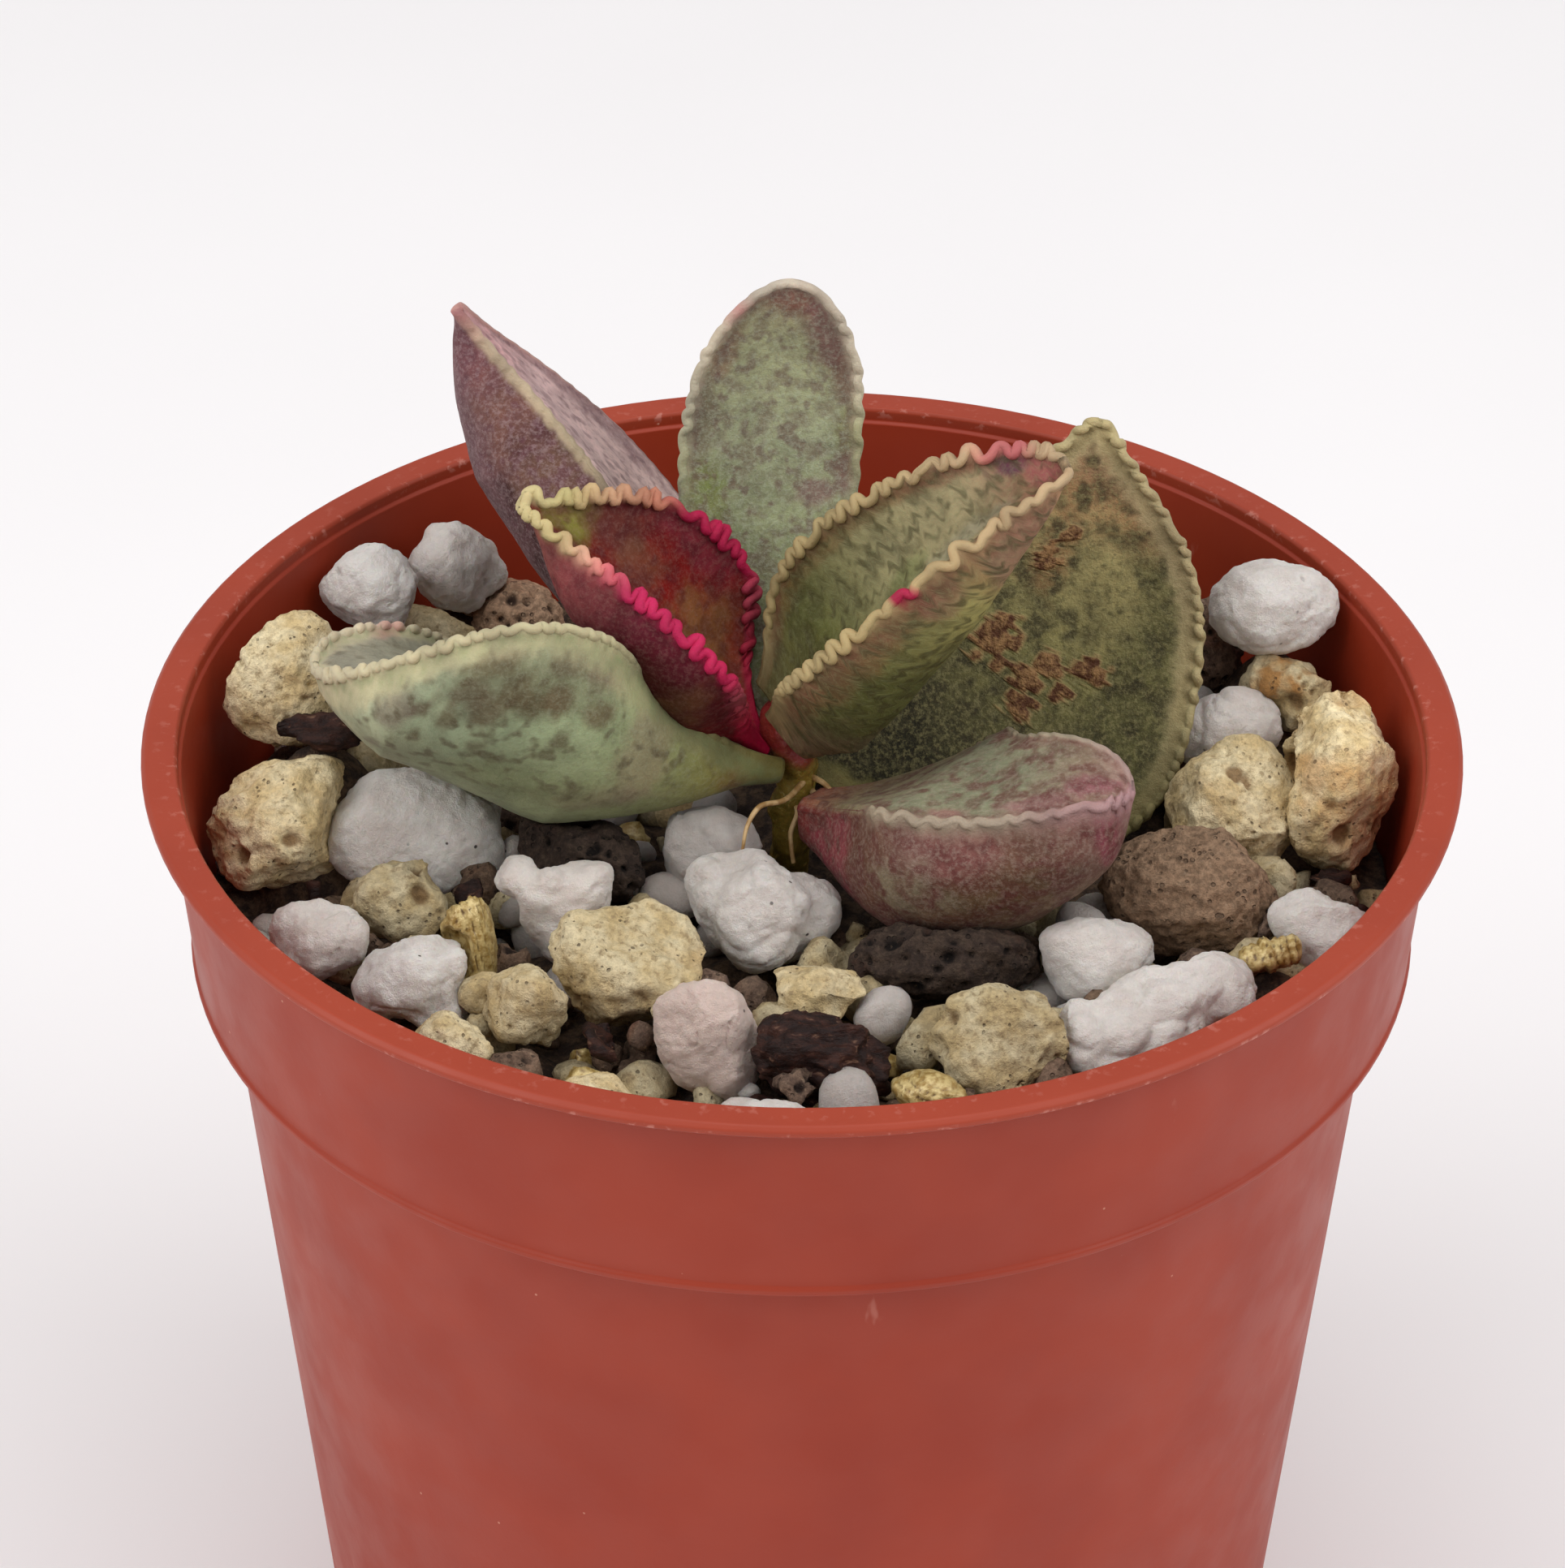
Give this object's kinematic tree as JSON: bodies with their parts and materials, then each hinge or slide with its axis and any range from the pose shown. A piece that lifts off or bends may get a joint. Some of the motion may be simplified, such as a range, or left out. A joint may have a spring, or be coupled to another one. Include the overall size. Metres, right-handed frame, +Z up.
{
  "type": "potted adromischus marianiae hybrid",
  "caption": "Small succulent with thick crinkle-edged leaves on a short stem, in a round plastic nursery pot filled with coarse mixed grit.",
  "frame": {"origin": "middle of the pot's underside, on the surface that it stands on", "axes": "+Z up along the pot's axis, +X to the right and +Y to the back as seen from the front"},
  "size_m": [0.055, 0.055, 0.0652],
  "materials": {
    "bark": "matte",
    "grit_bed": "matte",
    "lava": "matte",
    "leaf_back_left": "matte",
    "leaf_centre_back": "matte",
    "leaf_centre_left": "matte",
    "leaf_centre_right": "matte",
    "leaf_left_front": "matte",
    "leaf_right_back": "matte",
    "leaf_right_front": "matte",
    "perlite": "matte",
    "pot": "satin",
    "pumice": "matte",
    "stem": "matte",
    "vermiculite": "satin"
  },
  "bodies": {
    "root": {"bark_1": "bark", "bark_2": "bark", "bark_3": "bark", "grit_bed": "grit_bed", "lava_1": "lava", "lava_2": "lava", "lava_3": "lava", "lava_4": "lava", "lava_5": "lava", "lava_6": "lava", "lava_7": "lava", "lava_8": "lava", "leaf_back_left": "leaf_back_left", "leaf_centre_back": "leaf_centre_back", "leaf_centre_left": "leaf_centre_left", "leaf_centre_right": "leaf_centre_right", "leaf_left_front": "leaf_left_front", "leaf_right_back": "leaf_right_back", "leaf_right_front": "leaf_right_front", "perlite_1": "perlite", "perlite_10": "perlite", "perlite_11": "perlite", "perlite_12": "perlite", "perlite_13": "perlite", "perlite_14": "perlite", "perlite_15": "perlite", "perlite_16": "perlite", "perlite_17": "perlite", "perlite_2": "perlite", "perlite_3": "perlite", "perlite_4": "perlite", "perlite_5": "perlite", "perlite_6": "perlite", "perlite_7": "perlite", "perlite_8": "perlite", "perlite_9": "perlite", "pot": "pot", "pumice_1": "pumice", "pumice_10": "pumice", "pumice_11": "pumice", "pumice_12": "pumice", "pumice_13": "pumice", "pumice_14": "pumice", "pumice_15": "pumice", "pumice_16": "pumice", "pumice_17": "pumice", "pumice_2": "pumice", "pumice_3": "pumice", "pumice_4": "pumice", "pumice_5": "pumice", "pumice_6": "pumice", "pumice_7": "pumice", "pumice_8": "pumice", "pumice_9": "pumice", "stem": "stem", "vermiculite_1": "vermiculite", "vermiculite_2": "vermiculite", "vermiculite_3": "vermiculite"}
  },
  "joints": []
}
